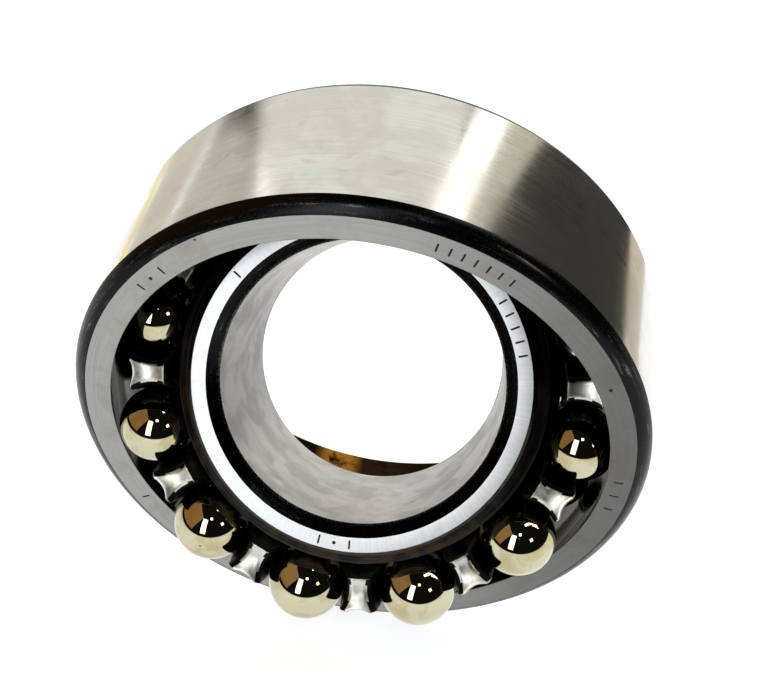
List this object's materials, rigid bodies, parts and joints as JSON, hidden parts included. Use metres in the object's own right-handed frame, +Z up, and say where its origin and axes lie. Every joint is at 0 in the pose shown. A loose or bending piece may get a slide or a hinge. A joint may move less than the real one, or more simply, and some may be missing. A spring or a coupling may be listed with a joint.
{
  "type": "self-aligning ball bearing",
  "caption": "Self-aligning ball bearing with two rows of balls, a tapered bore and a pressed steel cage, its inner ring swivelled out of the outer ring.",
  "frame": {"origin": "centre of the bearing, where the axes of its rings cross", "axes": "+Y along the outer ring's axis, towards its back face; -Y is the front, where the inner ring is swivelled out at the bottom; +Z up; X is the axis of the swivel"},
  "size_m": [0.13, 0.0924, 0.13],
  "materials": {
    "outer_ring_steel": "ground bearing steel, with dark corners as left by hardening",
    "inner_ring_steel": "ground bearing steel, polished grooves",
    "cage_steel": "pressed and tumbled sheet steel",
    "ball_steel": "mirror polished bearing steel under a film of oil"
  },
  "bodies": {
    "outer_ring": {"outer_ring": "outer_ring_steel"},
    "cage": {"cage_front": "cage_steel", "cage_back": "cage_steel"},
    "inner_ring": {"inner_ring": "inner_ring_steel"},
    "ball_front_01": {"ball_front_01": "ball_steel"},
    "ball_front_02": {"ball_front_02": "ball_steel"},
    "ball_front_03": {"ball_front_03": "ball_steel"},
    "ball_front_04": {"ball_front_04": "ball_steel"},
    "ball_front_05": {"ball_front_05": "ball_steel"},
    "ball_front_06": {"ball_front_06": "ball_steel"},
    "ball_front_07": {"ball_front_07": "ball_steel"},
    "ball_front_08": {"ball_front_08": "ball_steel"},
    "ball_front_09": {"ball_front_09": "ball_steel"},
    "ball_front_10": {"ball_front_10": "ball_steel"},
    "ball_front_11": {"ball_front_11": "ball_steel"},
    "ball_front_12": {"ball_front_12": "ball_steel"},
    "ball_back_01": {"ball_back_01": "ball_steel"},
    "ball_back_02": {"ball_back_02": "ball_steel"},
    "ball_back_03": {"ball_back_03": "ball_steel"},
    "ball_back_04": {"ball_back_04": "ball_steel"},
    "ball_back_05": {"ball_back_05": "ball_steel"},
    "ball_back_06": {"ball_back_06": "ball_steel"},
    "ball_back_07": {"ball_back_07": "ball_steel"},
    "ball_back_08": {"ball_back_08": "ball_steel"},
    "ball_back_09": {"ball_back_09": "ball_steel"},
    "ball_back_10": {"ball_back_10": "ball_steel"},
    "ball_back_11": {"ball_back_11": "ball_steel"},
    "ball_back_12": {"ball_back_12": "ball_steel"}
  },
  "joints": [
    {"name": "swivel", "type": "hinge", "parent": "outer_ring", "child": "cage", "pos_m": [0, 0, 0], "axis": [1, 0, 0], "range_deg": [-55.2, 124.8]},
    {"name": "inner_ring_spin", "type": "hinge", "parent": "cage", "child": "inner_ring", "pos_m": [0, 0, 0], "axis": [0, 0.8211, -0.5707], "continuous": true},
    {"name": "ball_front_01_spin", "type": "hinge", "parent": "cage", "child": "ball_front_01", "pos_m": [-0.0082, -0.03734, -0.03438], "axis": [-0.0351, 0.6811, -0.7314], "continuous": true},
    {"name": "ball_front_02_spin", "type": "hinge", "parent": "cage", "child": "ball_front_02", "pos_m": [0.01767, -0.03589, -0.0323], "axis": [0.0756, 0.6873, -0.7225], "continuous": true},
    {"name": "ball_front_03_spin", "type": "hinge", "parent": "cage", "child": "ball_front_03", "pos_m": [0.0388, -0.02726, -0.01987], "axis": [0.1659, 0.7242, -0.6693], "continuous": true},
    {"name": "ball_front_04_spin", "type": "hinge", "parent": "cage", "child": "ball_front_04", "pos_m": [0.04954, -0.01375, -0.00043], "axis": [0.2119, 0.782, -0.5862], "continuous": true},
    {"name": "ball_front_05_spin", "type": "hinge", "parent": "cage", "child": "ball_front_05", "pos_m": [0.047, 0.00102, 0.02081], "axis": [0.201, 0.8451, -0.4954], "continuous": true},
    {"name": "ball_front_06_spin", "type": "hinge", "parent": "cage", "child": "ball_front_06", "pos_m": [0.03187, 0.01308, 0.03816], "axis": [0.1363, 0.8967, -0.4211], "continuous": true},
    {"name": "ball_front_07_spin", "type": "hinge", "parent": "cage", "child": "ball_front_07", "pos_m": [0.0082, 0.01921, 0.04698], "axis": [0.0351, 0.9229, -0.3834], "continuous": true},
    {"name": "ball_front_08_spin", "type": "hinge", "parent": "cage", "child": "ball_front_08", "pos_m": [-0.01767, 0.01776, 0.0449], "axis": [-0.0756, 0.9167, -0.3923], "continuous": true},
    {"name": "ball_front_09_spin", "type": "hinge", "parent": "cage", "child": "ball_front_09", "pos_m": [-0.0388, 0.00912, 0.03247], "axis": [-0.1659, 0.8798, -0.4455], "continuous": true},
    {"name": "ball_front_10_spin", "type": "hinge", "parent": "cage", "child": "ball_front_10", "pos_m": [-0.04954, -0.00439, 0.01304], "axis": [-0.2119, 0.822, -0.5286], "continuous": true},
    {"name": "ball_front_11_spin", "type": "hinge", "parent": "cage", "child": "ball_front_11", "pos_m": [-0.047, -0.01915, -0.00821], "axis": [-0.201, 0.7589, -0.6194], "continuous": true},
    {"name": "ball_front_12_spin", "type": "hinge", "parent": "cage", "child": "ball_front_12", "pos_m": [-0.03187, -0.03121, -0.02556], "axis": [-0.1363, 0.7073, -0.6937], "continuous": true},
    {"name": "ball_back_01_spin", "type": "hinge", "parent": "cage", "child": "ball_back_01", "pos_m": [0.0049, -0.01946, -0.04734], "axis": [-0.021, 0.924, -0.3819], "continuous": true},
    {"name": "ball_back_02_spin", "type": "hinge", "parent": "cage", "child": "ball_back_02", "pos_m": [0.02923, -0.01424, -0.03983], "axis": [-0.125, 0.9016, -0.414], "continuous": true},
    {"name": "ball_back_03_spin", "type": "hinge", "parent": "cage", "child": "ball_back_03", "pos_m": [0.04573, -0.00277, -0.02334], "axis": [-0.1956, 0.8526, -0.4846], "continuous": true},
    {"name": "ball_back_04_spin", "type": "hinge", "parent": "cage", "child": "ball_back_04", "pos_m": [0.04998, 0.01186, -0.00228], "axis": [-0.2137, 0.79, -0.5746], "continuous": true},
    {"name": "ball_back_05_spin", "type": "hinge", "parent": "cage", "child": "ball_back_05", "pos_m": [0.04083, 0.02575, 0.0177], "axis": [-0.1746, 0.7307, -0.66], "continuous": true},
    {"name": "ball_back_06_spin", "type": "hinge", "parent": "cage", "child": "ball_back_06", "pos_m": [0.02074, 0.03517, 0.03125], "axis": [-0.0887, 0.6904, -0.718], "continuous": true},
    {"name": "ball_back_07_spin", "type": "hinge", "parent": "cage", "child": "ball_back_07", "pos_m": [-0.0049, 0.03759, 0.03474], "axis": [0.021, 0.68, -0.7329], "continuous": true},
    {"name": "ball_back_08_spin", "type": "hinge", "parent": "cage", "child": "ball_back_08", "pos_m": [-0.02923, 0.03237, 0.02723], "axis": [0.125, 0.7023, -0.7008], "continuous": true},
    {"name": "ball_back_09_spin", "type": "hinge", "parent": "cage", "child": "ball_back_09", "pos_m": [-0.04573, 0.0209, 0.01073], "axis": [0.1956, 0.7514, -0.6302], "continuous": true},
    {"name": "ball_back_10_spin", "type": "hinge", "parent": "cage", "child": "ball_back_10", "pos_m": [-0.04998, 0.00627, -0.01033], "axis": [0.2137, 0.814, -0.5402], "continuous": true},
    {"name": "ball_back_11_spin", "type": "hinge", "parent": "cage", "child": "ball_back_11", "pos_m": [-0.04083, -0.00762, -0.0303], "axis": [0.1746, 0.8733, -0.4548], "continuous": true},
    {"name": "ball_back_12_spin", "type": "hinge", "parent": "cage", "child": "ball_back_12", "pos_m": [-0.02074, -0.01703, -0.04385], "axis": [0.0887, 0.9136, -0.3968], "continuous": true}
  ],
  "couplings": [
    {"joint": "ball_front_01_spin", "follows": "inner_ring_spin", "ratio": -4.7746},
    {"joint": "ball_front_02_spin", "follows": "inner_ring_spin", "ratio": -4.7746},
    {"joint": "ball_front_03_spin", "follows": "inner_ring_spin", "ratio": -4.7746},
    {"joint": "ball_front_04_spin", "follows": "inner_ring_spin", "ratio": -4.7746},
    {"joint": "ball_front_05_spin", "follows": "inner_ring_spin", "ratio": -4.7746},
    {"joint": "ball_front_06_spin", "follows": "inner_ring_spin", "ratio": -4.7746},
    {"joint": "ball_front_07_spin", "follows": "inner_ring_spin", "ratio": -4.7746},
    {"joint": "ball_front_08_spin", "follows": "inner_ring_spin", "ratio": -4.7746},
    {"joint": "ball_front_09_spin", "follows": "inner_ring_spin", "ratio": -4.7746},
    {"joint": "ball_front_10_spin", "follows": "inner_ring_spin", "ratio": -4.7746},
    {"joint": "ball_front_11_spin", "follows": "inner_ring_spin", "ratio": -4.7746},
    {"joint": "ball_front_12_spin", "follows": "inner_ring_spin", "ratio": -4.7746},
    {"joint": "ball_back_01_spin", "follows": "inner_ring_spin", "ratio": -4.7746},
    {"joint": "ball_back_02_spin", "follows": "inner_ring_spin", "ratio": -4.7746},
    {"joint": "ball_back_03_spin", "follows": "inner_ring_spin", "ratio": -4.7746},
    {"joint": "ball_back_04_spin", "follows": "inner_ring_spin", "ratio": -4.7746},
    {"joint": "ball_back_05_spin", "follows": "inner_ring_spin", "ratio": -4.7746},
    {"joint": "ball_back_06_spin", "follows": "inner_ring_spin", "ratio": -4.7746},
    {"joint": "ball_back_07_spin", "follows": "inner_ring_spin", "ratio": -4.7746},
    {"joint": "ball_back_08_spin", "follows": "inner_ring_spin", "ratio": -4.7746},
    {"joint": "ball_back_09_spin", "follows": "inner_ring_spin", "ratio": -4.7746},
    {"joint": "ball_back_10_spin", "follows": "inner_ring_spin", "ratio": -4.7746},
    {"joint": "ball_back_11_spin", "follows": "inner_ring_spin", "ratio": -4.7746},
    {"joint": "ball_back_12_spin", "follows": "inner_ring_spin", "ratio": -4.7746}
  ]
}
